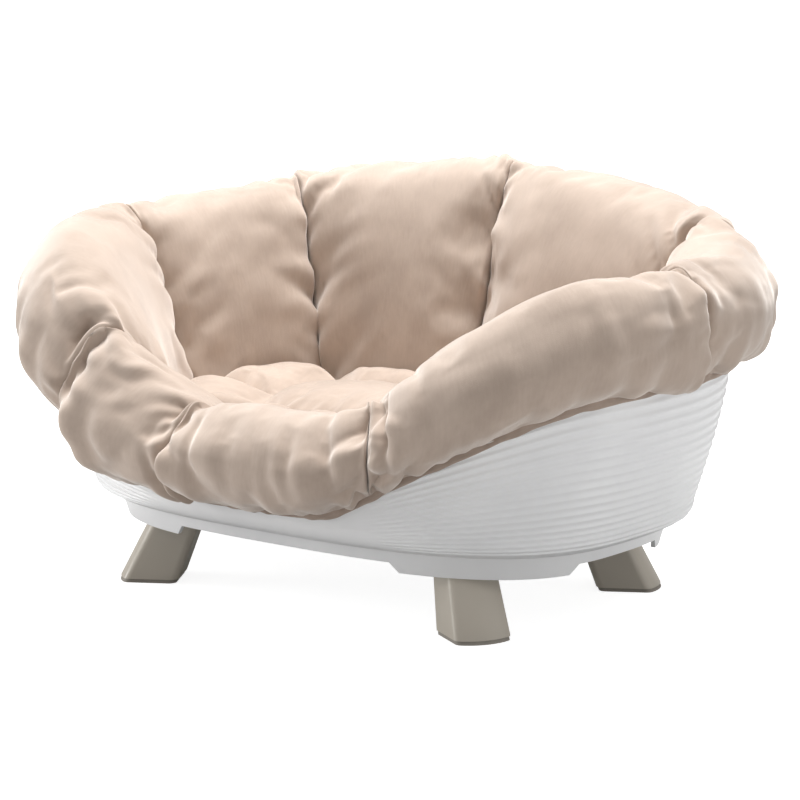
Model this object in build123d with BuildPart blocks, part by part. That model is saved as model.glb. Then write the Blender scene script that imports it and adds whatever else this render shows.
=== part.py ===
from build123d import *
import os
from math import atan2, ceil, cos, hypot, pi, radians, sin, sqrt

# A raised bed for a small dog or a cat: a moulded tub on four splayed legs, with a padded cover that
# hangs over the tub's rim and lifts off for washing. Millimetres; +X along the bed, +Z up, the low
# entrance faces -Y, and the floor is at Z = 0. Lengths below are measured from the tub's own centre;
# bed_centre_y then brings the whole bed over the origin.

# Foot ring of the tub
base_half_length = 222.0
base_half_width = 135.0
base_squareness = 2.95
skirt_bottom = 47.0
floor_underside = 65.0
band_flare = 5.0
wall = 3.5
notch_rise = 8.0
notch_slope = 7.0
front_notch_half = 103.0
end_notch_half = 50.0
floor_rim = 15.0
floor_overlap = 5.0
floor_step = 0.5

# Tub wall
shoulder_reach = 18.7
shoulder_height = 17.0
wall_flare = 39.3
wall_bulge = 7.5
rim_squareness = 2.4

# Rim
rim_entry_height = 124.0
rim_side_height = 238.0
rim_back_height = 272.0
rim_rise_start = 87.0
rim_rise_end = 265.0
rim_rise_blend = 20.0
rim_back_power = 2.2

# Floor vents
vent_length = 34.0
vent_width = 7.0
vent_pitch_x = 60.0
vent_pitch_y = 46.0
vent_columns = 5
vent_rows = 3

# Legs
leg_foot_x = 162.0
leg_foot_y = 103.0
leg_top_reach_x = 141.5
leg_top_reach_y = 90.5
leg_turn = 30.0
leg_foot_length = 50.0
leg_foot_width = 46.0
leg_top_length = 41.0
leg_top_width = 38.0
leg_end_bulge = 7.0
leg_corner = 7.0
leg_wall = 3.0
leg_plate = 5.0
foot_pad_thickness = 3.0
foot_pad_inset = 1.0
foot_plug_depth = 7.0

# Leg screws and the wells that they sit in
screw_radius = 2.5
screw_length = 22.0
screw_head_radius = 4.75
screw_head_height = 3.5
screw_slot_width = 1.4
screw_slot_depth = 1.6
screw_slot_length = 6.2
well_depth = 5.0
boss_wall = 3.6
boss_length = 16.0
screw_hole_gap = 0.25
thread_gap = 0.1
seat_gap = 0.3

# Padded cover
crest_rise = 45.0
drape_front_thickness = 38.0
drape_end_thickness = 25.0
drape_edge = 7.0
seam_pull = 0.82
belly_lift = 3.0
upper_roll_share = 0.58
upper_roll_drop = 0.42
nest_offset = -32.0
nest_floor_edge = 100.0
inner_fullness = 9.0
shoulder_drop = 12.0
shoulder_inset = 30.0
crest_inset = 2.0
hem_entry_height = 85.0
hem_side_height = 188.0
hem_rise_right = 87.0
hem_rise_left = 150.0
wall_gap = 1.0
rim_gap = 1.5
pad_gap = 2.5
pad_height = 82.0
# Share of the pad's height, and how far its side is drawn in there
pad_profile = [(0.0, 6.0), (0.18, 1.0), (0.38, 0.0), (0.6, 1.0), (0.82, 8.0), (0.95, 30.0), (1.0, 62.0)]

# Hem tape and its elastic
tape_height = 8.0
tape_thickness = 5.5
tape_skin = 1.2
tape_gap = 0.8
elastic_radius = 1.3
elastic_sides = 12
hem_gap = 0.3

# Seams of the cover, as plan angles from +X towards the back, and the panel after each
seams = [-180.0, -134.0, -108.0, -56.0, -1.0, 33.0, 95.0, 146.0, 180.0]
panel_names = ["panel_left", "panel_front_left", "panel_front", "panel_front_right",
               "panel_right", "panel_rear_right", "panel_rear", "panel_rear_left"]
model_angle = 60.0
section_step = 9.0
tub_step = 7.5
shoulder_turns = (0, 30, 60, 90)
wall_shares = (0.25, 0.5, 0.75, 1)
outline_points = 24

# Worked out from the sizes above
floor_top = floor_underside + wall
shoulder_top = floor_underside + shoulder_height
leg_top_x = leg_top_reach_x - wall
leg_top_y = leg_top_reach_y - wall
well_floor_top = floor_top - well_depth
well_bottom = well_floor_top - wall
well_inner_radius = screw_head_radius + 1.0
well_outer_radius = well_inner_radius + wall
leg_plate_bottom = well_bottom - seat_gap - leg_plate
boss_radius = screw_radius + boss_wall


# ---- Shape of the tub ------------------------------------------------------------------------------

def squareness(height):
    """Exponent of the tub's oval outline: squarer at the foot ring, rounder at the rim."""
    share = (height - floor_underside) / (rim_back_height - floor_underside)
    return base_squareness + (rim_squareness - base_squareness) * min(max(share, 0.0), 1.0)


def reach(angle, offset, height):
    """Distance from the centre to the oval that stands the offset outside the foot ring."""
    power = squareness(height)
    along = abs(cos(radians(angle))) / (base_half_length + offset)
    across = abs(sin(radians(angle))) / (base_half_width + offset)
    return (along ** power + across ** power) ** (-1 / power)


def wall_offset(height, depth=0.0):
    """How far the tub's wall stands outside the foot ring, at a depth into the wall."""
    if height < shoulder_top:
        drop = (shoulder_top - height) / (shoulder_height - depth)
        return band_flare + (shoulder_reach - depth) * sqrt(max(0.0, 1.0 - drop ** 2))
    share = (height - shoulder_top) / (rim_back_height - shoulder_top)
    bulge = wall_bulge * sin(pi * min(share, 1.0))
    return band_flare + shoulder_reach - depth + wall_flare * share + bulge


def ramp(distance):
    """Zero before the start of a rise and the distance after it, with a rounded corner."""
    return (sqrt(distance ** 2 + rim_rise_blend ** 2) + distance) / 2


def climb(distance, start):
    """Height gained by a unit slope that starts at one distance and levels off near the ends."""
    return ramp(distance - start) - ramp(distance - rim_rise_end)


def rise_share(x, start, full):
    """Share of a rise in front that starts at one distance from the centre and is whole at another."""
    return climb(abs(x), start) / climb(full, start)


def rim_half_length():
    """Distance from the centre to the rim at either end of the bed."""
    return base_half_length + wall_offset(rim_side_height)


def front_rim(x):
    """Rim height in front: low and flat at the entrance, then up to the ends."""
    lift = rim_side_height - rim_entry_height
    return rim_entry_height + lift * rise_share(x, rim_rise_start, rim_half_length())


def back_rim(x):
    """Rim height behind: a gentle arch from end to end."""
    share = (abs(x) / rim_half_length()) ** rim_back_power
    return rim_back_height - (rim_back_height - rim_side_height) * share


def in_front(angle):
    """Whether a plan angle points to the front half of the bed, its two ends left out."""
    return sin(radians(angle)) < -0.001


def rim_height(angle):
    """Rim height along a plan angle, closed in on because the tub's reach depends on it."""
    height = rim_side_height
    for _ in range(25):
        x = reach(angle, wall_offset(height), height) * cos(radians(angle))
        target = front_rim(x) if in_front(angle) else back_rim(x)
        height = (height + target) / 2
    return height


def hem_height(angle):
    """Height of the hem's lower edge: it follows the rim in front and hangs level behind."""
    if not in_front(angle):
        return hem_side_height
    x = reach(angle, wall_offset(rim_side_height), rim_side_height) * cos(radians(angle))
    start = hem_rise_right if x > 0 else hem_rise_left
    lift = hem_side_height - hem_entry_height
    return hem_entry_height + lift * rise_share(x, start, rim_half_length())


def oval(offset, height):
    """Level oval outline at a height."""
    points = []
    for index in range(outline_points):
        angle = 360 * index / outline_points
        distance = reach(angle, offset, height)
        points.append((distance * cos(radians(angle)), distance * sin(radians(angle))))
    with BuildSketch(Plane.XY.offset(height)) as outline:
        with BuildLine():
            Spline(*points, periodic=True)
        make_face()
    return outline.sketch


def upright_plane(angle):
    """Upright plane through the bed's axis: its x is the distance out, its y the height."""
    out = radians(angle)
    return Plane(origin=(0, 0, 0), x_dir=(cos(out), sin(out), 0), z_dir=(sin(out), -cos(out), 0))


def steps_between(start, end, step):
    """Plan angles from one to another, no more than a step apart."""
    count = ceil((end - start) / step)
    return [start + (end - start) * index / count for index in range(count + 1)]


def spacing(points):
    """Share of the way along a chain of points at which each one lies."""
    lengths = [hypot(b[0] - a[0], b[1] - a[1]) for a, b in zip(points, points[1:])]
    return [sum(lengths[:count]) / sum(lengths) for count in range(len(points))]


def smooth_edge(points, model_points):
    """Spline that spaces its points as the model section does, so that a loft stays light."""
    return Edge.make_spline(points, parameters=spacing(model_points))


def make_ring(section, breaks, step):
    """Closed ring round the bed, made of one loft from each break to the next."""
    with BuildPart() as ring:
        for start, end in zip(breaks, breaks[1:]):
            loft([section(angle) for angle in steps_between(start, end, step)])
    return ring


def wall_line(angle, depth, top):
    """Points up the tub's wall at a depth into it: round the shoulder, then up to a height."""
    heights = [shoulder_top - (shoulder_height - depth) * cos(radians(turn))
               for turn in shoulder_turns]
    heights += [shoulder_top + (top - shoulder_top) * share for share in wall_shares]
    return [(reach(angle, wall_offset(height, depth), height), height) for height in heights]


def tub_section(angle):
    """Section of the tub: skirt, edge of the floor, rounded shoulder, wall and rounded rim."""
    rim = rim_height(angle)
    top = rim - wall / 2
    outside = wall_line(angle, 0, top)
    inside = wall_line(angle, wall, top)
    crown = ((outside[-1][0] + inside[-1][0]) / 2, rim)

    def at(offset, height):
        return (reach(angle, offset, height), height)

    model = wall_line(model_angle, 0, rim_height(model_angle))
    with BuildSketch(upright_plane(angle)) as section:
        with BuildLine():
            add(smooth_edge(outside, model))
            ThreePointArc(outside[-1], crown, inside[-1])
            add(smooth_edge(inside, model))
            Polyline(inside[0], at(-floor_rim, floor_top), at(-floor_rim, floor_underside),
                     at(band_flare - wall, floor_underside), at(-wall, skirt_bottom),
                     at(0, skirt_bottom), outside[0])
        make_face()
    return section.sketch


def notch(half_length, plane):
    """Trapezoid that raises the skirt's edge between its corners."""
    with BuildSketch(plane) as region:
        with BuildLine():
            Polyline((-half_length - notch_slope, skirt_bottom - wall),
                     (-half_length - notch_slope, skirt_bottom),
                     (-half_length, skirt_bottom + notch_rise),
                     (half_length, skirt_bottom + notch_rise),
                     (half_length + notch_slope, skirt_bottom),
                     (half_length + notch_slope, skirt_bottom - wall), close=True)
        make_face()
    return region.sketch


corners = [(1, -1), (-1, -1), (1, 1), (-1, 1)]
screw_points = [(side * leg_top_x, end * leg_top_y) for side, end in corners]

# The floor panel is a step thinner than the wall and runs into the edge of the floor all round.
with BuildPart() as floor_panel:
    extrude(oval(floor_overlap - floor_rim, floor_underside + floor_step),
            amount=wall - 2 * floor_step)
    with BuildSketch(Plane.XY.offset(floor_underside)):
        with GridLocations(vent_pitch_x, vent_pitch_y, vent_columns, vent_rows):
            SlotOverall(vent_length, vent_width)
    extrude(amount=wall, mode=Mode.SUBTRACT)
    with BuildSketch(Plane.XY.offset(well_bottom)):
        with Locations(*screw_points):
            Circle(well_outer_radius)
    extrude(amount=floor_top - floor_step - well_bottom)
    with BuildSketch(Plane.XY.offset(well_floor_top)):
        with Locations(*screw_points):
            Circle(well_inner_radius)
    extrude(amount=well_depth, mode=Mode.SUBTRACT)
    with BuildSketch(Plane.XY.offset(well_bottom)):
        with Locations(*screw_points):
            Circle(screw_radius + screw_hole_gap)
    extrude(amount=wall, mode=Mode.SUBTRACT)

tub_wall = make_ring(tub_section, [45 * count for count in range(9)], tub_step)
with BuildPart() as basket_shell:
    add(tub_wall.part)
    extrude(notch(front_notch_half, Plane.XZ), amount=2 * base_half_width, both=True,
            mode=Mode.SUBTRACT)
    extrude(notch(end_notch_half, Plane.YZ), amount=2 * base_half_length, both=True,
            mode=Mode.SUBTRACT)
    add(floor_panel.part)


# ---- Legs, foot pads and screws --------------------------------------------------------------------

def leg_outline(side, end, height, inset):
    """The leg's outline at a height, drawn in by the inset: flat sides and a bowed outer end."""
    share = height / floor_underside
    x = side * (leg_foot_x + (leg_top_x - leg_foot_x) * share)
    y = end * (leg_foot_y + (leg_top_y - leg_foot_y) * share)
    length = leg_foot_length + (leg_top_length - leg_foot_length) * share - 2 * inset
    width = leg_foot_width + (leg_top_width - leg_foot_width) * share - 2 * inset
    turn = atan2(end * sin(radians(leg_turn)), side * cos(radians(leg_turn)))
    shoulder = length / 2 - leg_end_bulge
    place = Plane(origin=(x, y, height), x_dir=(cos(turn), sin(turn), 0), z_dir=(0, 0, 1))
    with BuildSketch(place) as outline:
        with BuildLine():
            Polyline((shoulder, width / 2), (-length / 2, width / 2),
                     (-length / 2, -width / 2), (shoulder, -width / 2))
            ThreePointArc((shoulder, -width / 2), (length / 2, 0), (shoulder, width / 2))
        make_face()
        fillet(outline.vertices(), leg_corner - inset)
    return outline.sketch


def leg_block(side, end, low, high, inset):
    """The leg's outlines at two heights, ready for a loft."""
    return [leg_outline(side, end, low, inset), leg_outline(side, end, high, inset)]


def make_leg(side, end):
    """Hollow leg: open below, with a plate on top, a pocket for the well and a screw boss."""
    top = (side * leg_top_x, end * leg_top_y)
    with BuildPart() as leg:
        loft(leg_block(side, end, foot_pad_thickness, floor_underside, 0), ruled=True)
        loft(leg_block(side, end, foot_pad_thickness, leg_plate_bottom, leg_wall),
             ruled=True, mode=Mode.SUBTRACT)
        with BuildSketch(Plane.XY.offset(well_bottom - seat_gap)):
            with Locations(top):
                Circle(well_outer_radius + seat_gap)
        extrude(amount=floor_underside - well_bottom + seat_gap, mode=Mode.SUBTRACT)
        with BuildSketch(Plane.XY.offset(leg_plate_bottom - boss_length)):
            with Locations(top):
                Circle(boss_radius)
        extrude(amount=boss_length)
        with BuildSketch(Plane.XY.offset(leg_plate_bottom - boss_length)):
            with Locations(top):
                Circle(screw_radius + thread_gap)
        extrude(amount=boss_length + leg_plate, mode=Mode.SUBTRACT)
    return leg


def make_foot_pad(side, end):
    """Rubber foot that closes the leg's open end with a plug."""
    plug_inset = leg_wall + seat_gap
    plug_top = foot_pad_thickness + foot_plug_depth
    with BuildPart() as foot_pad:
        loft(leg_block(side, end, 0, foot_pad_thickness, foot_pad_inset), ruled=True)
        loft(leg_block(side, end, foot_pad_thickness, plug_top, plug_inset), ruled=True)
    return foot_pad


with BuildPart() as leg_screws:
    with BuildSketch(Plane.XY.offset(well_floor_top)):
        with Locations(*screw_points):
            Circle(screw_head_radius)
    extrude(amount=screw_head_height)
    with BuildSketch(Plane.XY.offset(well_floor_top)):
        with Locations(*screw_points):
            Circle(screw_radius)
    extrude(amount=-screw_length)
    with BuildSketch(Plane.XY.offset(well_floor_top + screw_head_height)):
        with Locations(*screw_points):
            Rectangle(screw_slot_length, screw_slot_width)
            Rectangle(screw_slot_width, screw_slot_length)
    extrude(amount=-screw_slot_depth, mode=Mode.SUBTRACT)


# ---- Padded cover ----------------------------------------------------------------------------------

def drape_offset(angle):
    """Offset of the drape's inner face, which clears the rim when the cover is lifted off."""
    return wall_offset(rim_height(angle)) + rim_gap


def roll_line(angle, fullness):
    """Points over the cover: up the drape, over the roll and down the padded wall of the nest."""
    rim = rim_height(angle)
    lip = wall_offset(rim)
    pull = seam_pull + (1 - seam_pull) * fullness
    slimming = (drape_front_thickness - drape_end_thickness) * cos(radians(angle)) ** 2
    thickness = (drape_front_thickness - slimming) * pull
    crest = rim + crest_rise * (1 - (1 - pull) / 3)
    edge = hem_height(angle) + tape_height + tape_gap
    inner = lip - shoulder_inset
    middle = (inner + nest_offset) / 2 - inner_fullness * fullness
    line = [(drape_offset(angle) + drape_edge, edge),
            (lip + thickness, (edge + crest) / 2 + belly_lift),
            (lip + upper_roll_share * thickness, crest - upper_roll_drop * crest_rise),
            (lip - crest_inset, crest),
            (inner, crest - shoulder_drop),
            (middle, (crest - shoulder_drop + nest_floor_edge) / 2),
            (nest_offset, nest_floor_edge)]
    return [(reach(angle, offset, height), height) for offset, height in line]


def lining_line(angle):
    """Points under the cover: across the floor, up inside the wall and over the rim to the hem."""
    rim = rim_height(angle)
    rest = floor_top + hem_gap
    inside = [(wall_offset(height, wall) - wall_gap, height)
              for height in (rest, shoulder_top - shoulder_height / 2, shoulder_top,
                             (shoulder_top + rim) / 2, rim + rim_gap)]
    line = [(nest_offset, rest)] + inside
    line += [(drape_offset(angle), rim + rim_gap),
             (drape_offset(angle), hem_height(angle) + tape_height + tape_gap)]
    return [(reach(angle, offset, height), height) for offset, height in line]


def panel_section(angle, fullness):
    """Section of the cover between its roll line and its lining line."""
    roll = roll_line(angle, fullness)
    lining = lining_line(angle)
    with BuildSketch(upright_plane(angle)) as section:
        with BuildLine():
            add(smooth_edge(roll, roll_line(model_angle, 1)))
            Polyline(roll[-1], *lining, roll[0])
        make_face()
    return section.sketch


def make_panel(start, end):
    """One stuffed panel of the cover, full in the middle and pulled in at its two seams."""
    sections = []
    for angle in steps_between(start, end, section_step):
        fullness = sin(pi * (angle - start) / (end - start))
        sections.append(panel_section(angle, fullness))
    with BuildPart() as panel:
        loft(sections)
    return panel


def tape_section(angle):
    """Section of the hem tape: a folded strip, open towards the tub, round the elastic."""
    near = drape_offset(angle)
    low = hem_height(angle)
    high = low + tape_height

    def at(offset, height):
        return (reach(angle, offset, low), height)

    with BuildSketch(upright_plane(angle)) as section:
        with BuildLine():
            Polyline(at(near, low), at(near + tape_thickness, low),
                     at(near + tape_thickness, high), at(near, high),
                     at(near, high - tape_skin), at(near + tape_thickness - tape_skin, high - tape_skin),
                     at(near + tape_thickness - tape_skin, low + tape_skin),
                     at(near, low + tape_skin), close=True)
        make_face()
    return section.sketch


def elastic_section(angle):
    """Round section of the elastic, in the fold of the hem tape."""
    low = hem_height(angle)
    offset = drape_offset(angle) + tape_thickness - tape_skin - hem_gap - elastic_radius
    with BuildSketch(upright_plane(angle)) as section:
        with Locations((reach(angle, offset, low), low + tape_height / 2)):
            RegularPolygon(elastic_radius, elastic_sides)
    return section.sketch


with BuildPart() as floor_pad:
    pad_bottom = floor_top + hem_gap
    pad_side = nest_offset - pad_gap
    loft([oval(pad_side - inset, pad_bottom + share * pad_height) for share, inset in pad_profile])


# ---- Write the pieces ------------------------------------------------------------------------------

pieces = {"basket_shell": basket_shell, "leg_screws": leg_screws, "floor_pad": floor_pad}
for side, end in corners:
    place = ("rear_" if end > 0 else "front_") + ("right" if side > 0 else "left")
    pieces["leg_" + place] = make_leg(side, end)
    pieces["foot_pad_" + place] = make_foot_pad(side, end)
for name, start, end in zip(panel_names, seams, seams[1:]):
    pieces[name] = make_panel(start, end)
pieces["hem_tape"] = make_ring(tape_section, seams, section_step)
pieces["hem_elastic"] = make_ring(elastic_section, seams, section_step)

# The cover reaches further back than forward, so the bed moves to stand centred on the origin.
cover = [pieces[name].part.bounding_box() for name in panel_names]
front_reach = min(box.min.Y for box in cover)
back_reach = max(box.max.Y for box in cover)
bed_centre_y = (front_reach + back_reach) / 2

os.makedirs("parts", exist_ok=True)
for name, piece in pieces.items():
    piece.part.locate(Location((0, -bed_centre_y, 0)))
    piece.part.label = name
    export_step(piece.part, "parts/" + name + ".step")
print("bed centre moved by", round(-bed_centre_y, 2), "mm in Y")
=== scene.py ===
import math

import bpy
import numpy as np
from mathutils import Matrix, Vector


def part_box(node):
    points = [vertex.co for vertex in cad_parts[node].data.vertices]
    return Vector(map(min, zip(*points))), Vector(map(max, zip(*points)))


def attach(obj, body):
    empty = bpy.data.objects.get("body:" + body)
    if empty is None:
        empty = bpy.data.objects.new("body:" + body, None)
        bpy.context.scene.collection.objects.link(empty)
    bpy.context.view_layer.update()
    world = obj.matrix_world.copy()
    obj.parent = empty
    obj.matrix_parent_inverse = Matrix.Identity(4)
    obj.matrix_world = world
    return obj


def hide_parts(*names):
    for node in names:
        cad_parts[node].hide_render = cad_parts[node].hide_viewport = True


# A raised pet bed: a ribbed plastic tub on four splayed legs, and a stuffed cover that hangs over
# the tub's rim. Metres; +X along the bed, +Z up, the low entrance faces -Y. Angles are plan angles
# from +X, and an offset is a distance outside the tub's foot ring.

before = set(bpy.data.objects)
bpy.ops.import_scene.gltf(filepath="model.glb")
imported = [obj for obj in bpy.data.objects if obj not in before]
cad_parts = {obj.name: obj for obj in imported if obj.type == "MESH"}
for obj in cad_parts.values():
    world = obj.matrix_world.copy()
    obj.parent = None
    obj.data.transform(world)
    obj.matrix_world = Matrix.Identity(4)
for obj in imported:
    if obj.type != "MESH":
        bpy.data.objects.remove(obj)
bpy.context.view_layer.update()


def middle_y(node_front, node_rear):
    """Y half way between two pieces."""
    return (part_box(node_front)[0][1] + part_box(node_rear)[1][1]) / 2


# ---- Sizes of the bed ---------------------------------------------------------------------------

BED_Y = middle_y("foot_pad_front_left", "foot_pad_rear_left")

# Tub: foot ring, shoulder and sloping wall
RING_HALF_LENGTH = 0.222
RING_HALF_WIDTH = 0.135
RING_SQUARENESS = 2.95
RIM_SQUARENESS = 2.4
FLOOR_UNDERSIDE = 0.065
WALL = 0.0035
FLOOR_TOP = FLOOR_UNDERSIDE + WALL
BAND_FLARE = 0.005
SHOULDER_REACH = 0.0187
SHOULDER_HEIGHT = 0.017
SHOULDER_TOP = FLOOR_UNDERSIDE + SHOULDER_HEIGHT
WALL_FLARE = 0.0393
WALL_BULGE = 0.0075

# Rim: low at the entrance, raised at the ends and highest behind
RIM_ENTRY = 0.124
RIM_SIDE = 0.238
RIM_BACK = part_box("basket_shell")[1][2]
RIM_RISE_START = 0.087
RIM_RISE_END = 0.265
RIM_RISE_BLEND = 0.020
RIM_BACK_POWER = 2.2
RIM_PASSES = 25
FRONT_LIMIT = -0.001

# Hem of the cover, which starts to rise nearer the middle on the right than on the left
HEM_ENTRY = 0.085
HEM_SIDE = 0.188
HEM_RISE_RIGHT = 0.087
HEM_RISE_LEFT = 0.150
TAPE_HEIGHT = 0.008
TAPE_THICKNESS = 0.004
HEM_LAP = 0.0025

# Stuffed roll over the rim, and the nest inside it
CREST_RISE = 0.045
DRAPE_FRONT = 0.038
DRAPE_END = 0.025
NEST_OFFSET = -0.032
PAD_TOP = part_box("floor_pad")[1][2]

# Seams of the cover, and the panel that starts at each
SEAMS = np.radians([-180.0, -134.0, -108.0, -56.0, -1.0, 33.0, 95.0, 146.0, 180.0])
PANELS = ["panel_left", "panel_front_left", "panel_front", "panel_front_right",
          "panel_right", "panel_rear_right", "panel_rear", "panel_rear_left"]


# ---- Shape of the tub, as the CAD model has it --------------------------------------------------

def squareness(height):
    """Exponent of the oval outline, from the foot ring's to the rim's with height."""
    share = (height - FLOOR_UNDERSIDE) / (RIM_BACK - FLOOR_UNDERSIDE)
    return RING_SQUARENESS + (RIM_SQUARENESS - RING_SQUARENESS) * np.clip(share, 0, 1)


def reach(angle, offset, height):
    """Distance out to the superellipse |x/a|^n + |y/b|^n = 1, an offset outside the ring."""
    power = squareness(height)
    along = np.abs(np.cos(angle)) / (RING_HALF_LENGTH + offset)
    across = np.abs(np.sin(angle)) / (RING_HALF_WIDTH + offset)
    return (along ** power + across ** power) ** (-1 / power)


def wall_offset(height, depth=0.0):
    """Offset of the tub's wall, or of a line at a depth inside its shoulder.

    A quarter of an ellipse round the shoulder, then a straight slope plus half a sine wave."""
    height = np.asarray(height, dtype=float)
    drop = np.clip((SHOULDER_TOP - height) / (SHOULDER_HEIGHT - depth), 0, 1)
    shoulder = (SHOULDER_REACH - depth) * np.sqrt(1 - drop ** 2)
    share = np.clip((height - SHOULDER_TOP) / (RIM_BACK - SHOULDER_TOP), 0, 1)
    return BAND_FLARE + shoulder + WALL_FLARE * share + WALL_BULGE * np.sin(np.pi * share)


def ramp(distance):
    """Zero before a rise starts and the distance after it, with a rounded corner.

    Half the sum of the distance and the root of its square plus the blend's square."""
    return (np.sqrt(distance ** 2 + RIM_RISE_BLEND ** 2) + distance) / 2


def rise_share(x, start):
    """Share of the rise from the entrance to the ends at x: one ramp up less a later one."""
    full = RING_HALF_LENGTH + wall_offset(RIM_SIDE)
    top = ramp(full - start) - ramp(full - RIM_RISE_END)
    return (ramp(np.abs(x) - start) - ramp(np.abs(x) - RIM_RISE_END)) / top


def rim_height(angle):
    """Rim height: low and flat in front, up to the ends, then an arch |x|^power behind.

    The height depends on x and x on the height, so a few half steps settle them."""
    full = RING_HALF_LENGTH + wall_offset(RIM_SIDE)
    height = np.full_like(angle, RIM_SIDE)
    for _ in range(RIM_PASSES):
        x = reach(angle, wall_offset(height), height) * np.cos(angle)
        front = RIM_ENTRY + (RIM_SIDE - RIM_ENTRY) * rise_share(x, RIM_RISE_START)
        back = RIM_BACK - (RIM_BACK - RIM_SIDE) * (np.abs(x) / full) ** RIM_BACK_POWER
        height = (height + np.where(np.sin(angle) < FRONT_LIMIT, front, back)) / 2
    return height


def hem_height(angle):
    """Height of the hem's lower edge: it follows the rim in front and hangs level behind."""
    x = reach(angle, wall_offset(RIM_SIDE), RIM_SIDE) * np.cos(angle)
    right = rise_share(x, HEM_RISE_RIGHT)
    left = rise_share(x, HEM_RISE_LEFT)
    front = HEM_ENTRY + (HEM_SIDE - HEM_ENTRY) * np.where(x > 0, right, left)
    return np.where(np.sin(angle) < FRONT_LIMIT, front, HEM_SIDE)


def place(angle, offset, height):
    """Points in space for plan angles, offsets from the foot ring and heights."""
    angle, offset, height = np.broadcast_arrays(angle, offset, height)
    out = reach(angle, offset, height)
    return np.stack([out * np.cos(angle), BED_Y + out * np.sin(angle), height], axis=-1)


# ---- Mesh and noise helpers ---------------------------------------------------------------------

NOISE_SIZE = 64


def grid_faces(rows, columns, wrap_rows=False, wrap_columns=False):
    """Quads over a grid of points, counted row by row, joined end to end where it wraps."""
    row = np.arange(rows if wrap_rows else rows - 1)
    column = np.arange(columns if wrap_columns else columns - 1)
    row, column = np.meshgrid(row, column, indexing="ij")
    next_row, next_column = (row + 1) % rows, (column + 1) % columns
    corners = [row * columns + column, next_row * columns + column,
               next_row * columns + next_column, row * columns + next_column]
    return np.stack(corners, axis=-1).reshape(-1, 4)


def make_piece(name, points, faces, uv=None):
    """New smooth mesh object at the origin, with its place in its points."""
    mesh = bpy.data.meshes.new(name)
    mesh.from_pydata(points.reshape(-1, 3).tolist(), [], faces.tolist())
    if uv is not None:
        layer = mesh.uv_layers.new(name="cloth")
        loops = np.empty(len(mesh.loops), dtype=np.int32)
        mesh.loops.foreach_get("vertex_index", loops)
        layer.data.foreach_set("uv", uv.reshape(-1, 2)[loops].ravel())
    mesh.polygons.foreach_set("use_smooth", [True] * len(mesh.polygons))
    mesh.update()
    piece = bpy.data.objects.new(name, mesh)
    bpy.context.scene.collection.objects.link(piece)
    return piece


def subdivide(piece):
    """Subdivision surface of one level in view and render."""
    smooth = piece.modifiers.new("smooth", "SUBSURF")
    smooth.levels = 1
    smooth.render_levels = 1


def noise(x, y, seed):
    """Smooth noise from -1 to 1 over a plane: seeded random values on a unit grid, which repeats.

    Between grid points the share s of the way is eased as s^2 (3 - 2 s)."""
    table = np.random.default_rng(seed).uniform(-1, 1, (NOISE_SIZE, NOISE_SIZE))
    column, row = np.floor(x).astype(int), np.floor(y).astype(int)
    across, up = x - column, y - row
    across, up = across * across * (3 - 2 * across), up * up * (3 - 2 * up)
    left, right = column % NOISE_SIZE, (column + 1) % NOISE_SIZE
    below, above = row % NOISE_SIZE, (row + 1) % NOISE_SIZE
    low = table[below, left] * (1 - across) + table[below, right] * across
    high = table[above, left] * (1 - across) + table[above, right] * across
    return low * (1 - up) + high * up


def smooth_line(controls, samples):
    """Catmull-Rom curve through control points along the last axis but one, evenly sampled.

    A cubic between b and c whose slope at each is half the step between its two neighbours."""
    count = controls.shape[-2]
    first = 2 * controls[..., :1, :] - controls[..., 1:2, :]
    last = 2 * controls[..., -1:, :] - controls[..., -2:-1, :]
    padded = np.concatenate([first, controls, last], axis=-2)
    where = np.linspace(0, count - 1, samples)
    index = np.minimum(where.astype(int), count - 2)
    share = (where - index)[:, None]
    a, b, c, d = (padded[..., index + step, :] for step in range(4))
    return 0.5 * (2 * b + (c - a) * share + (2 * a - 5 * b + 4 * c - d) * share ** 2
                  + (3 * b - a - 3 * c + d) * share ** 3)


# ---- Materials ----------------------------------------------------------------------------------

def new_group(name, inputs, outputs):
    """Empty shader node group with named sockets; each socket is (name, type, default)."""
    group = bpy.data.node_groups.new(name, "ShaderNodeTree")
    for label, kind, value in inputs:
        socket = group.interface.new_socket(name=label, in_out="INPUT", socket_type=kind)
        socket.default_value = value
    for label, kind in outputs:
        group.interface.new_socket(name=label, in_out="OUTPUT", socket_type=kind)
    return group, group.nodes.new("NodeGroupInput"), group.nodes.new("NodeGroupOutput")


def feed(tree, socket, value):
    """Link a socket to another, or set it to a plain value."""
    if isinstance(value, bpy.types.NodeSocket):
        tree.links.new(value, socket)
    else:
        socket.default_value = value


def math_node(tree, operation, first, second):
    """Math node fed by sockets or numbers; returns its result."""
    node = tree.nodes.new("ShaderNodeMath")
    node.operation = operation
    feed(tree, node.inputs[0], first)
    feed(tree, node.inputs[1], second)
    return node.outputs[0]


def noise_node(tree, vector, scale, detail=3.0, roughness=0.55):
    """Noise texture on a vector; returns its value."""
    node = tree.nodes.new("ShaderNodeTexNoise")
    tree.links.new(vector, node.inputs["Vector"])
    feed(tree, node.inputs["Scale"], scale)
    node.inputs["Detail"].default_value = detail
    node.inputs["Roughness"].default_value = roughness
    return node.outputs[0]


def stretch_node(tree, vector, scale):
    """Vector scaled along its axes."""
    node = tree.nodes.new("ShaderNodeMapping")
    node.inputs["Scale"].default_value = scale
    tree.links.new(vector, node.inputs["Vector"])
    return node.outputs[0]


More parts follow.
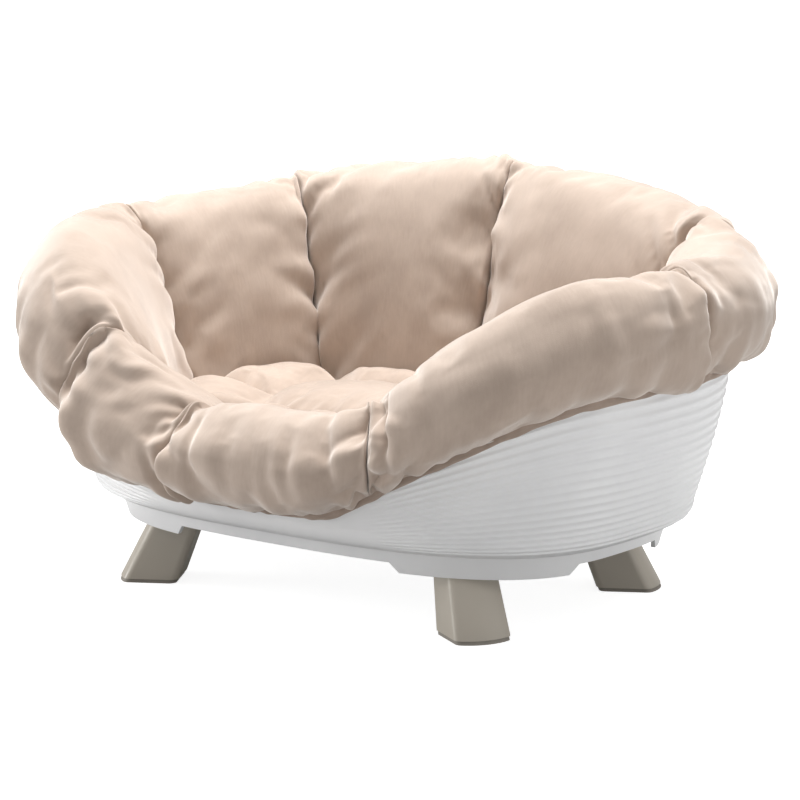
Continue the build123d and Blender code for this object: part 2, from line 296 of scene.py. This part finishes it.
def range_node(tree, value, low, high, to_low, to_high):
    """Map Range node; returns its result."""
    node = tree.nodes.new("ShaderNodeMapRange")
    feed(tree, node.inputs["Value"], value)
    feed(tree, node.inputs["From Min"], low)
    feed(tree, node.inputs["From Max"], high)
    feed(tree, node.inputs["To Min"], to_low)
    feed(tree, node.inputs["To Max"], to_high)
    return node.outputs["Result"]


def mix_colours(tree, share, first, second):
    """Colour mix; returns its result."""
    node = tree.nodes.new("ShaderNodeMix")
    node.data_type = "RGBA"
    tree.links.new(share, node.inputs[0])
    feed(tree, node.inputs[6], first)
    feed(tree, node.inputs[7], second)
    return node.outputs[2]


SURFACE_OUTPUTS = [("Color", "NodeSocketColor"), ("Height", "NodeSocketFloat"),
                   ("Roughness", "NodeSocketFloat")]


def brushed_nap_group():
    """Nap of brushed cotton: light and dark patches, streaks along the cloth, fine fibres."""
    group, inside, outside = new_group(
        "brushed_nap",
        [("Vector", "NodeSocketVector", (0, 0, 0)), ("Light", "NodeSocketColor", (1, 1, 1, 1)),
         ("Dark", "NodeSocketColor", (0, 0, 0, 1)), ("Patch Scale", "NodeSocketFloat", 30.0)],
        SURFACE_OUTPUTS)
    place_socket = inside.outputs["Vector"]
    patches = noise_node(group, place_socket, inside.outputs["Patch Scale"], 4.0, 0.6)
    streaks = noise_node(group, stretch_node(group, place_socket, (1.0, 0.22, 1.0)), 420.0)
    fibres = noise_node(group, place_socket, 1500.0, 2.0, 0.7)
    tone = math_node(group, "ADD", math_node(group, "MULTIPLY", patches, 0.78),
                     math_node(group, "MULTIPLY", streaks, 0.22))
    share = range_node(group, tone, 0.34, 0.66, 0.0, 1.0)
    colour = mix_colours(group, share, inside.outputs["Dark"], inside.outputs["Light"])
    height = math_node(group, "ADD", math_node(group, "MULTIPLY", streaks, 0.6), fibres)
    group.links.new(colour, outside.inputs["Color"])
    group.links.new(height, outside.inputs["Height"])
    group.links.new(range_node(group, fibres, 0.3, 0.7, 0.84, 0.97), outside.inputs["Roughness"])
    return group


def moulded_skin_group():
    """Skin of moulded plastic: faint tone drift, fine spark grain and light handling marks."""
    group, inside, outside = new_group(
        "moulded_skin",
        [("Vector", "NodeSocketVector", (0, 0, 0)), ("Light", "NodeSocketColor", (1, 1, 1, 1)),
         ("Dark", "NodeSocketColor", (0, 0, 0, 1)), ("Grain Scale", "NodeSocketFloat", 900.0),
         ("Low Roughness", "NodeSocketFloat", 0.3), ("High Roughness", "NodeSocketFloat", 0.45)],
        SURFACE_OUTPUTS)
    place_socket = inside.outputs["Vector"]
    drift = noise_node(group, place_socket, 9.0)
    marks = noise_node(group, place_socket, 60.0, 5.0, 0.65)
    grain = noise_node(group, place_socket, inside.outputs["Grain Scale"], 1.0)
    share = range_node(group, drift, 0.35, 0.65, 0.0, 1.0)
    colour = mix_colours(group, share, inside.outputs["Dark"], inside.outputs["Light"])
    group.links.new(colour, outside.inputs["Color"])
    group.links.new(grain, outside.inputs["Height"])
    rough = range_node(group, marks, 0.35, 0.65, inside.outputs["Low Roughness"],
                       inside.outputs["High Roughness"])
    group.links.new(rough, outside.inputs["Roughness"])
    return group


def new_material(name):
    """Material with its shader and the piece's own coordinates."""
    material = bpy.data.materials.new(name)
    material.use_nodes = True
    tree = material.node_tree
    shader = tree.nodes["Principled BSDF"]
    return material, tree, shader, tree.nodes.new("ShaderNodeTexCoord")


def place_group(tree, group, vector, **values):
    """Node group in a material, fed by a vector, with its named values."""
    node = tree.nodes.new("ShaderNodeGroup")
    node.node_tree = group
    tree.links.new(vector, node.inputs["Vector"])
    for label, value in values.items():
        node.inputs[label.replace("_", " ")].default_value = value
    return node


def join_surface(tree, shader, node, strength, distance):
    """Group's colour, roughness and height into the shader, the height through a Bump node."""
    bump = tree.nodes.new("ShaderNodeBump")
    bump.inputs["Strength"].default_value = strength
    bump.inputs["Distance"].default_value = distance
    tree.links.new(node.outputs["Height"], bump.inputs["Height"])
    tree.links.new(bump.outputs[0], shader.inputs["Normal"])
    tree.links.new(node.outputs["Color"], shader.inputs["Base Color"])
    tree.links.new(node.outputs["Roughness"], shader.inputs["Roughness"])


nap = brushed_nap_group()
skin = moulded_skin_group()


def cloth_material(name, light, dark, patch_scale, sheen):
    """Brushed cotton with a soft sheen."""
    material, tree, shader, coordinates = new_material(name)
    node = place_group(tree, nap, coordinates.outputs["UV"], Light=light, Dark=dark,
                       Patch_Scale=patch_scale)
    join_surface(tree, shader, node, 0.35, 0.0005)
    shader.inputs["Sheen Weight"].default_value = sheen
    shader.inputs["Sheen Roughness"].default_value = 0.45
    shader.inputs["Sheen Tint"].default_value = (1.0, 0.95, 0.9, 1.0)
    shader.inputs["Specular IOR Level"].default_value = 0.2
    return material


def plastic_material(name, light, dark, low, high, grain_scale, glow=0.0):
    """Moulded plastic with a fine grain, a roughness from low to high, and a glow.

    The glow is the share of light that passes into it."""
    material, tree, shader, coordinates = new_material(name)
    node = place_group(tree, skin, coordinates.outputs["Object"], Light=light, Dark=dark,
                       Grain_Scale=grain_scale, Low_Roughness=low, High_Roughness=high)
    join_surface(tree, shader, node, 0.12, 0.0003)
    shader.inputs["Subsurface Weight"].default_value = glow
    shader.inputs["Subsurface Radius"].default_value = (0.01, 0.01, 0.01)
    shader.inputs["Subsurface Scale"].default_value = 0.5
    return material


COVER_CLOTH = cloth_material("cover_cloth", (0.50, 0.402, 0.333, 1), (0.40, 0.315, 0.258, 1),
                             16.0, 0.8)
HEM_CLOTH = cloth_material("hem_cloth", (0.40, 0.315, 0.26, 1), (0.32, 0.25, 0.205, 1), 60.0, 0.3)
ELASTIC = cloth_material("elastic_braid", (0.78, 0.75, 0.7, 1), (0.62, 0.6, 0.56, 1), 200.0, 0.1)
TUB_PLASTIC = plastic_material("tub_plastic", (0.84, 0.84, 0.84, 1), (0.79, 0.79, 0.795, 1),
                               0.32, 0.46, 1100.0, 0.12)
LEG_PLASTIC = plastic_material("leg_plastic", (0.54, 0.490, 0.415, 1), (0.48, 0.435, 0.365, 1),
                               0.36, 0.52, 1300.0)
FOOT_RUBBER = plastic_material("foot_rubber", (0.34, 0.31, 0.27, 1), (0.28, 0.255, 0.22, 1),
                               0.7, 0.85, 700.0)
SCREW_STEEL = plastic_material("screw_steel", (0.65, 0.65, 0.65, 1), (0.5, 0.5, 0.5, 1),
                               0.25, 0.4, 2500.0)
SCREW_STEEL.node_tree.nodes["Principled BSDF"].inputs["Metallic"].default_value = 1.0


def dress(node, material):
    """Give a CAD node its material."""
    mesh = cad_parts[node].data
    mesh.materials.clear()
    mesh.materials.append(material)


dress("basket_shell", TUB_PLASTIC)
dress("leg_screws", SCREW_STEEL)
for corner in ("front_left", "front_right", "rear_left", "rear_right"):
    dress("leg_" + corner, LEG_PLASTIC)
    dress("foot_pad_" + corner, FOOT_RUBBER)


# ---- Ribbed skin of the tub's wall --------------------------------------------------------------

RIB_START = 0.068
RIB_COUNT = 23.0
RIB_SPREAD = 0.706
RIB_SHARPNESS = 1.4
RIB_DEPTH = 0.0013
RIB_PROUD = 0.0002
RIB_RUN_IN = 0.02
RIB_RUN_OUT = 0.03
RIB_FADE_START = 0.090
RIB_FADE_LENGTH = 0.075
SKIN_DEPTH = 0.0015
SKIN_LAP = 0.0001
SKIN_STEPS = 360
SKIN_ROWS = 250
SKIN_INNER_EVERY = 30


def make_ribbed_skin():
    """Skin over the tub's wall: waves that follow the rim, and fade out at the entrance.

    A wave is a half less half a cosine of the rib count times share^spread, so that the ribs get
    wider upwards, raised to a power that makes its valleys broad. Share runs from floor to rim."""
    angle = np.linspace(0, 2 * np.pi, SKIN_STEPS, endpoint=False)[:, None]
    rim = rim_height(angle) - WALL
    share = np.linspace(0, 1, SKIN_ROWS)[None, :]
    height = RIB_START + (rim - RIB_START) * share
    wave = 0.5 - 0.5 * np.cos(2 * np.pi * RIB_COUNT * share ** RIB_SPREAD)
    offset = wall_offset(height)
    x = reach(angle, offset, height) * np.cos(angle)
    front = np.sin(angle) < 0
    fade = np.clip((np.abs(x) - RIB_FADE_START) / RIB_FADE_LENGTH, 0, 1)
    fade = np.where(front, fade * fade * (3 - 2 * fade), 1.0)
    ends = np.clip(share / RIB_RUN_IN, 0, 1) * np.clip((1 - share) / RIB_RUN_OUT, 0, 1)
    proud = (RIB_PROUD + RIB_DEPTH * fade * wave ** RIB_SHARPNESS) * ends
    outer = place(angle, offset + proud, height)
    inner = place(angle, offset - SKIN_DEPTH * ends - SKIN_LAP, height)[:, ::-1]
    points = np.concatenate([outer, inner[:, ::SKIN_INNER_EVERY]], axis=1)
    faces = grid_faces(SKIN_STEPS, points.shape[1], True, True)
    piece = make_piece("tub_ribs", points, faces)
    piece.data.materials.append(TUB_PLASTIC)
    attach(piece, "basket")


make_ribbed_skin()


# ---- Stuffed cover ------------------------------------------------------------------------------

# Grid of a panel: columns are closer by the seams, and the crest is the fifth of ten controls
PANEL_STEP = 0.0041
PANEL_EASE = 1.08
SEAM_CROWDING = 0.6
ROLL_SAMPLES = 92
CREST_SAMPLE = int(ROLL_SAMPLES * 4 / 9)

# Section of the roll; each pair is (at a seam, added in the middle of a panel)
FULLNESS_POWER = 0.45
THICK_SHARE = (0.64, 0.36)
CREST_SHARE = (0.93, 0.07)
SEAM_TUCK = 0.010
NEST_TUCK = 0.6
CREST_INSIDE = 0.030
BACKREST_PUFF = 0.013
BACKREST_SAG = 0.006
BACKREST_LOW = 0.100
PANEL_LOW = 0.075

# Lining: gaps to the tub's wall and floor
LINING_INSIDE = WALL + 0.0015
LINING_OUTSIDE = 0.0022
LINING_RIM = 0.002
LINING_FLOOR = 0.003
LINING_FOOT = 0.004

# Folds: height, spacing across them, and the distance from the seam or hem in which they fade
DRAPE_FOLD, DRAPE_FOLD_SPACING, DRAPE_FOLD_FADE = 0.0190, 0.017, 0.055
FAN_FOLD, FAN_FOLD_SPACING, FAN_FOLD_FADE = 0.0115, 0.026, 0.038
FINE_FOLD, FINE_FOLD_SPACING, FINE_FOLD_FADE = 0.0036, 0.011, 0.045
HEM_PUCKER, HEM_PUCKER_SPACING, HEM_PUCKER_FADE = 0.0080, 0.014, 0.028
FOLD_MEAN = 0.34
SIDE_SEED = 40.0
PIT_FRONT = 0.016
PIT_REAR = 0.003
FRONT_SEAM = -0.3
SEWN_MARGIN = 0.006


def fullness(share):
    """How full a panel is: half a sine wave from seam to seam, raised to a power below one."""
    return np.sin(np.pi * np.clip(share, 0, 1)) ** FULLNESS_POWER


def roll_controls(angle, full):
    """Section of the roll as (offset, height): hem, belly, crest, backrest, edge of the floor.

    The roll's thickness goes from front to end with the square of the angle's cosine."""
    rim = rim_height(angle)
    lip = wall_offset(rim)
    edge = hem_height(angle) + TAPE_HEIGHT - HEM_LAP
    thick = DRAPE_FRONT - (DRAPE_FRONT - DRAPE_END) * np.cos(angle) ** 2
    thick = thick * (THICK_SHARE[0] + THICK_SHARE[1] * full)
    crest = rim + CREST_RISE * (CREST_SHARE[0] + CREST_SHARE[1] * full)
    inner = lip - CREST_INSIDE + SEAM_TUCK * (1 - full)
    foot = wall_offset(edge) + TAPE_THICKNESS
    belly = lip + thick
    nest = NEST_OFFSET + NEST_TUCK * SEAM_TUCK * (1 - full)
    puff = BACKREST_PUFF * full
    line = [(foot, edge),
            (foot + (belly - foot) * 0.72, edge + (crest - edge) * 0.13),
            (belly, edge + (crest - edge) * 0.48),
            (lip + 0.60 * thick, crest - 0.42 * CREST_RISE),
            (lip - 0.002, crest),
            (inner, crest - 0.012),
            (inner * 0.68 + nest * 0.32 - puff, crest * 0.68 + BACKREST_LOW * 0.32 - BACKREST_SAG),
            (inner * 0.36 + nest * 0.64 - puff, crest * 0.36 + BACKREST_LOW * 0.64 - BACKREST_SAG),
            (nest, BACKREST_LOW),
            (nest + 0.008, PANEL_LOW)]
    return np.stack([np.stack(np.broadcast_arrays(*pair), axis=-1) for pair in line], axis=-2)


def lining_controls(angle):
    """Hidden side of a panel as (offset, height): up inside the tub's wall, over it and down."""
    rim = rim_height(angle)
    edge = hem_height(angle) + TAPE_HEIGHT - HEM_LAP
    zero = np.zeros_like(angle)
    middle_in, middle_out = (SHOULDER_TOP + rim) / 2, (rim + edge) / 2
    line = [(zero + LINING_FOOT, zero + (FLOOR_TOP + LINING_FLOOR)),
            (zero + wall_offset(SHOULDER_TOP, LINING_INSIDE), zero + SHOULDER_TOP),
            (wall_offset(middle_in, LINING_INSIDE), middle_in),
            (wall_offset(rim, LINING_INSIDE), rim),
            (wall_offset(rim) - WALL / 2, rim + LINING_RIM),
            (wall_offset(rim) + LINING_OUTSIDE, rim),
            (wall_offset(middle_out) + LINING_OUTSIDE, middle_out),
            (wall_offset(edge) + LINING_OUTSIDE, edge)]
    return np.stack([np.stack(pair, axis=-1) for pair in line], axis=-2)


def seam_folds(share, width, along, crest, pits, seed):
    """Folds beside the seams: down the drape outside, fans from the seam, a pit at the crest.

    A fold is |noise| less its mean, which has sharp valleys and round ridges, stretched along the
    fold's own way; it dies out as e^(-distance/fade). A pit is a bell curve both ways."""
    near = np.minimum(share, 1 - share) * width
    side = np.where(share < 0.5, 0.0, SIDE_SEED)
    across = share * width
    outside = np.clip((crest + 0.02 - along) / 0.06, 0, 1)
    down = noise(across / DRAPE_FOLD_SPACING + along * 7.0 + side, along / 0.075 + 3.0, seed)
    fan = noise(along / FAN_FOLD_SPACING + near * 11.0 + side, side + near / 0.075, seed + 1)
    fine = noise(along / FINE_FOLD_SPACING - near * 8.0 + side, side + near / 0.045, seed + 2)
    down, fan = np.abs(down) - FOLD_MEAN, np.abs(fan) - FOLD_MEAN
    folds = DRAPE_FOLD * down * np.exp(-near / DRAPE_FOLD_FADE) * outside
    folds = (folds + FAN_FOLD * fan * np.exp(-near / FAN_FOLD_FADE)
             + FINE_FOLD * fine * np.exp(-near / FINE_FOLD_FADE))
    pit = np.exp(-(near / 0.016) ** 2 - ((along - crest + 0.012) / 0.022) ** 2)
    return folds - np.where(share < 0.5, pits[0], pits[1]) * pit


def hem_puckers(share, width, depth, seed):
    """Puckers gathered by the hem's elastic: |noise| across, dying out as e^(-depth/fade)."""
    across = share * width
    pleat = np.abs(noise(across / HEM_PUCKER_SPACING, depth / 0.12, seed + 7)) - FOLD_MEAN
    return HEM_PUCKER * pleat * np.exp(-depth / HEM_PUCKER_FADE)


def make_panel(name, start, end, seed):
    """Closed stuffed panel between two seams: roll outside, lining inside, ladders at the seams.

    The two sections are carried round the tub, and the roll moves along its normals by its folds
    and puckers. Returns the piece and its sewn points, which the stuffing leaves in place."""
    middle = np.array([(start + end) / 2])
    rim = rim_height(middle)
    ends = place(np.array([start, end]), wall_offset(rim) + 0.02, rim)
    width = float(np.linalg.norm(ends[1] - ends[0])) * PANEL_EASE
    columns = int(width / PANEL_STEP) + 1
    even = np.linspace(0, 1, columns)
    share = even - SEAM_CROWDING * np.sin(2 * np.pi * even) / (2 * np.pi)
    angle = start + (end - start) * share
    full = fullness(share)
    line = smooth_line(roll_controls(angle, full), ROLL_SAMPLES)
    roll = place(angle[:, None], line[..., 0], line[..., 1])
    step = np.linalg.norm(np.diff(roll, axis=1), axis=-1)
    along = np.concatenate([np.zeros((columns, 1)), np.cumsum(step, axis=1)], axis=1)
    normal = np.cross(np.gradient(roll, axis=0), np.gradient(roll, axis=1))
    normal /= np.linalg.norm(normal, axis=-1, keepdims=True)
    across = np.broadcast_to(share[:, None], along.shape)
    crest = along[:, [CREST_SAMPLE]]
    pits = [PIT_FRONT if math.sin(seam) < FRONT_SEAM else PIT_REAR for seam in (start, end)]
    shift = seam_folds(across, width, along, crest, pits, seed)
    shift = shift + hem_puckers(across, width, along, seed)
    from_seam = np.minimum(across, 1 - across) * width
    hold = np.clip(along / SEWN_MARGIN, 0, 1) * np.clip(from_seam / SEWN_MARGIN, 0, 1)
    roll = roll + normal * (shift * hold)[..., None]
    lining_line = smooth_line(lining_controls(angle), ROLL_SAMPLES)
    lining = place(angle[:, None], lining_line[..., 0], lining_line[..., 1])
    points = np.concatenate([roll, lining], axis=1)
    rows = 2 * ROLL_SAMPLES
    faces = grid_faces(columns, rows, False, True)
    ladder = np.arange(ROLL_SAMPLES - 1)
    cap = np.stack([ladder, ladder + 1, rows - 2 - ladder, rows - 1 - ladder], axis=-1)
    last = cap[:, ::-1] + (columns - 1) * rows
    faces = np.concatenate([faces, cap, last])
    uv = np.stack([np.broadcast_to(share[:, None] * width, points.shape[:2]) + seed * 0.37,
                   np.concatenate([along, along[:, ::-1]], axis=1)], axis=-1)
    piece = make_piece(name + "_cover", points, faces, uv)
    piece.data.materials.append(COVER_CLOTH)
    held = np.zeros((columns, rows), dtype=bool)
    held[0] = held[-1] = True
    held[:, 0] = True
    held[:, ROLL_SAMPLES - 2:] = True
    return piece, np.nonzero(held.ravel())[0]


STUFFING_PRESSURE = 5.0
CLOTH_SLACK = 0.018
MOVE_CAP = 0.007
SETTLE_FRAMES = 20


def stuff(pieces):
    """Cloth simulation: the held seams stay, slack cloth is blown up, and the result is kept.

    A point's move is cap tanh(length/cap), so that none goes further than the cap."""
    scene = bpy.context.scene
    starts = []
    for piece, held in pieces:
        group = piece.vertex_groups.new(name="held")
        group.add(held.tolist(), 1.0, "REPLACE")
        cloth = piece.modifiers.new("stuffing", "CLOTH")
        settings = cloth.settings
        settings.quality = 6
        settings.mass = 0.25
        settings.air_damping = 2.0
        settings.tension_stiffness = 14
        settings.compression_stiffness = 14
        settings.shear_stiffness = 5
        settings.bending_stiffness = 0.12
        settings.vertex_group_mass = "held"
        settings.use_pressure = True
        settings.uniform_pressure_force = STUFFING_PRESSURE
        settings.shrink_min = -CLOTH_SLACK
        settings.shrink_max = -CLOTH_SLACK
        settings.effector_weights.gravity = 0
        cloth.collision_settings.use_collision = False
        cloth.collision_settings.use_self_collision = False
        cloth.point_cache.frame_start = 1
        cloth.point_cache.frame_end = SETTLE_FRAMES
        start = np.empty(len(piece.data.vertices) * 3)
        piece.data.vertices.foreach_get("co", start)
        starts.append(start.reshape(-1, 3))
    for number in range(1, SETTLE_FRAMES + 1):
        scene.frame_set(number)
    graph = bpy.context.evaluated_depsgraph_get()
    for (piece, _), start in zip(pieces, starts):
        settled = np.empty(start.size)
        piece.evaluated_get(graph).data.vertices.foreach_get("co", settled)
        move = settled.reshape(-1, 3) - start
        length = np.linalg.norm(move, axis=1, keepdims=True)
        move *= MOVE_CAP * np.tanh(length / MOVE_CAP) / np.maximum(length, 1e-9)
        piece.modifiers.clear()
        piece.vertex_groups.clear()
        piece.data.vertices.foreach_set("co", (start + move).ravel())
        piece.data.update()
    scene.frame_set(1)


stuffed = [make_panel(name, start, end, 11 * number + 3)
           for number, (name, start, end) in enumerate(zip(PANELS, SEAMS, SEAMS[1:]))]


# ---- Floor pad ----------------------------------------------------------------------------------

PAD_STEPS = 96
PAD_OFFSET = NEST_OFFSET + 0.001
PAD_RING = 0.60
PAD_EDGE_HEIGHT = 0.138
PAD_PUFF = 0.016
PAD_STITCH_WIDTH = 0.011
PAD_EDGE_DROP = 0.020
PAD_WRINKLE = 0.0022
PAD_UNDERSIDE = FLOOR_TOP + 0.004
PAD_UNDERSIDE_RISE = 0.030
PAD_UNDERSIDE_SHRINK = 0.97


def make_floor_pad():
    """Quilted pad: a domed oval, sewn round a ring and out along a spoke to each panel seam.

    The square grid s, t becomes a disc, x = s root(1 - t^2/2) and y = t root(1 - s^2/2), and the
    disc the nest's oval. The dome is 1 - radius^4, and the quilting 1 - e^(-(distance/width)^1.5)
    with the distance to the nearest stitch line."""
    line = np.linspace(-1, 1, PAD_STEPS)
    s, t = np.meshgrid(line, line, indexing="ij")
    x, y = s * np.sqrt(1 - t * t / 2), t * np.sqrt(1 - s * s / 2)
    radius = np.hypot(x, y)
    half_length, half_width = RING_HALF_LENGTH + PAD_OFFSET, RING_HALF_WIDTH + PAD_OFFSET
    angle = np.arctan2(half_width * y, half_length * x)
    out = radius * reach(angle, PAD_OFFSET, PAD_EDGE_HEIGHT)
    from_ring = np.abs(radius - PAD_RING) * half_width
    spokes = SEAMS[:-1]
    turn = np.abs((angle[..., None] - spokes + np.pi) % (2 * np.pi) - np.pi).min(axis=-1)
    from_spoke = np.where(radius > PAD_RING, np.sin(np.minimum(turn, np.pi / 2)) * out, 1.0)
    near = np.minimum(from_ring, from_spoke)
    puff = 1 - np.exp(-(near / PAD_STITCH_WIDTH) ** 1.5)
    dome = (PAD_TOP - PAD_PUFF - PAD_EDGE_HEIGHT) * (1 - radius ** 4)
    dome = dome - PAD_EDGE_DROP * radius ** 24
    wrinkle = PAD_WRINKLE * noise(out / 0.02 + 9, angle * 9, 5) * np.exp(-near / 0.03)
    height = PAD_EDGE_HEIGHT + dome + PAD_PUFF * puff + wrinkle
    top = np.stack([out * np.cos(angle), BED_Y + out * np.sin(angle), height], axis=-1)
    bottom = top.copy()
    centre = np.array([0, BED_Y])
    bottom[..., :2] = centre + (top[..., :2] - centre) * PAD_UNDERSIDE_SHRINK
    bottom[..., 2] = PAD_UNDERSIDE + PAD_UNDERSIDE_RISE * radius ** 8
    points = np.concatenate([top.reshape(-1, 3), bottom.reshape(-1, 3)])
    faces = grid_faces(PAD_STEPS, PAD_STEPS)
    count = PAD_STEPS * PAD_STEPS
    index = np.arange(count).reshape(PAD_STEPS, PAD_STEPS)
    edge = np.concatenate([index[0, :-1], index[:-1, -1], index[-1, :0:-1], index[:0:-1, 0]])
    after = np.roll(edge, -1)
    side = np.stack([edge, after, after + count, edge + count], axis=-1)
    faces = np.concatenate([faces, faces[:, ::-1] + count, side[:, ::-1]])
    uv = np.concatenate([top[..., :2].reshape(-1, 2)] * 2)
    piece = make_piece("floor_pad_cover", points, faces, uv)
    piece.data.materials.append(COVER_CLOTH)
    sewn = (near < 0.002) | (radius > 0.985)
    held = np.concatenate([sewn.ravel(), np.ones(count, dtype=bool)])
    return piece, np.nonzero(held)[0]


stuffed.append(make_floor_pad())

stuff(stuffed)

for (piece, _), name in zip(stuffed, PANELS + ["floor_pad"]):
    subdivide(piece)
    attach(piece, "cushion")
    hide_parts(name)


# ---- Hem tape and elastic -----------------------------------------------------------------------

ELASTIC_RADIUS = 0.0013
TAPE_GAP = 0.0008
TAPE_PUCKER = 0.0008
HEM_MEAN_RADIUS = 0.24
SECTION_SAMPLES = 16


def make_hem_ring(name, material, node, half_height, half_depth, corner, pucker, steps):
    """Closed ring along the hem: a rounded section carried round the bed, puckered by noise.

    The section's two ways are the signed powers of a cosine and a sine; a power below one makes
    it a rounded box, and one makes it an ellipse."""
    angle = np.linspace(-np.pi, np.pi, steps, endpoint=False)[:, None]
    turn = np.linspace(0, 2 * np.pi, SECTION_SAMPLES, endpoint=False)[None, :]
    across = half_depth * np.sign(np.cos(turn)) * np.abs(np.cos(turn)) ** corner
    up = half_height * np.sign(np.sin(turn)) * np.abs(np.sin(turn)) ** corner
    middle = hem_height(angle) + TAPE_HEIGHT / 2
    girth = angle * HEM_MEAN_RADIUS
    shift = pucker * noise(girth / 0.007 + 300, np.zeros_like(girth), 21)
    offset = wall_offset(middle) + TAPE_GAP + TAPE_THICKNESS / 2 + across
    offset = offset + shift * (1 + up / half_height)
    lift = pucker * noise(girth / 0.010 + 300, np.ones_like(girth), 22)
    points = place(angle, offset, middle + up + lift)
    uv = np.stack(np.broadcast_arrays(girth, turn * 0.003), axis=-1)
    piece = make_piece(name, points, grid_faces(steps, SECTION_SAMPLES, True, True), uv)
    piece.data.materials.append(material)
    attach(piece, "cushion")
    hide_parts(node)
    return piece


tape = make_hem_ring("hem_tape_fold", HEM_CLOTH, "hem_tape",
                     TAPE_HEIGHT / 2, TAPE_THICKNESS / 2, 0.6, TAPE_PUCKER, 720)
subdivide(tape)
make_hem_ring("hem_elastic_cord", ELASTIC, "hem_elastic",
              ELASTIC_RADIUS, ELASTIC_RADIUS, 1.0, 0.0, 240)


# ---- Floor, light and camera --------------------------------------------------------------------

FLOOR_HALF = 6.0
FLOOR_SEEN = 0.86
WORLD_LIGHT = 0.54


def make_floor():
    """Wide pale square floor, which the camera alone sees lit of itself."""
    corners = [[-1, -1, 0], [1, -1, 0], [1, 1, 0], [-1, 1, 0]]
    points = np.array(corners) * FLOOR_HALF
    piece = make_piece("studio_floor", points, np.array([[0, 1, 2, 3]]))
    material, tree, shader, _ = new_material("studio_floor")
    shader.inputs["Base Color"].default_value = (0.5, 0.5, 0.5, 1)
    shader.inputs["Roughness"].default_value = 0.9
    shader.inputs["Emission Color"].default_value = (1, 1, 1, 1)
    path = tree.nodes.new("ShaderNodeLightPath")
    seen = math_node(tree, "MULTIPLY", path.outputs["Is Camera Ray"], FLOOR_SEEN)
    tree.links.new(seen, shader.inputs["Emission Strength"])
    piece.data.materials.append(material)


def aim(thing, location, target, roll=0.0):
    """Put a light or camera somewhere and point it at something."""
    direction = Vector(target) - Vector(location)
    turn = direction.to_track_quat("-Z", "Y").to_matrix().to_4x4()
    thing.matrix_world = Matrix.Translation(location) @ turn @ Matrix.Rotation(roll, 4, "Z")


def add_softbox(name, location, target, power):
    """Soft light, one metre square, aimed at a point."""
    data = bpy.data.lights.new(name, "AREA")
    data.shape = "SQUARE"
    data.size = 1.0
    data.energy = power
    lamp = bpy.data.objects.new(name, data)
    bpy.context.scene.collection.objects.link(lamp)
    aim(lamp, location, target)


make_floor()
add_softbox("top_light", (-0.2, 0.5, 2.1), (0, 0, 0.15), 80)
add_softbox("side_light", (2.3, 0.5, 0.5), (0, 0, 0.12), 7)
add_softbox("left_light", (-2.2, -1.1, 0.5), (0, 0, 0.12), 28)

world = bpy.data.worlds.new("studio")
bpy.context.scene.world = world
world.use_nodes = True
sky = world.node_tree
backdrop = sky.nodes["Background"]
backdrop.inputs["Color"].default_value = (1.0, 1.0, 1.0, 1)
seen = sky.nodes.new("ShaderNodeLightPath").outputs["Is Camera Ray"]
strength = range_node(sky, seen, 0.0, 1.0, WORLD_LIGHT, 1.0)
sky.links.new(strength, backdrop.inputs["Strength"])

camera = bpy.data.objects.new("camera", bpy.data.cameras.new("camera"))
bpy.context.scene.collection.objects.link(camera)
camera.data.lens = 176.3
camera.data.sensor_width = 36.0
aim(camera, (1.8726, -2.3909 + BED_Y, 0.7364), (0.001, 0.013 + BED_Y, 0.145),
    math.radians(-0.2))
bpy.context.scene.camera = camera
bpy.context.scene.view_settings.view_transform = "Standard"
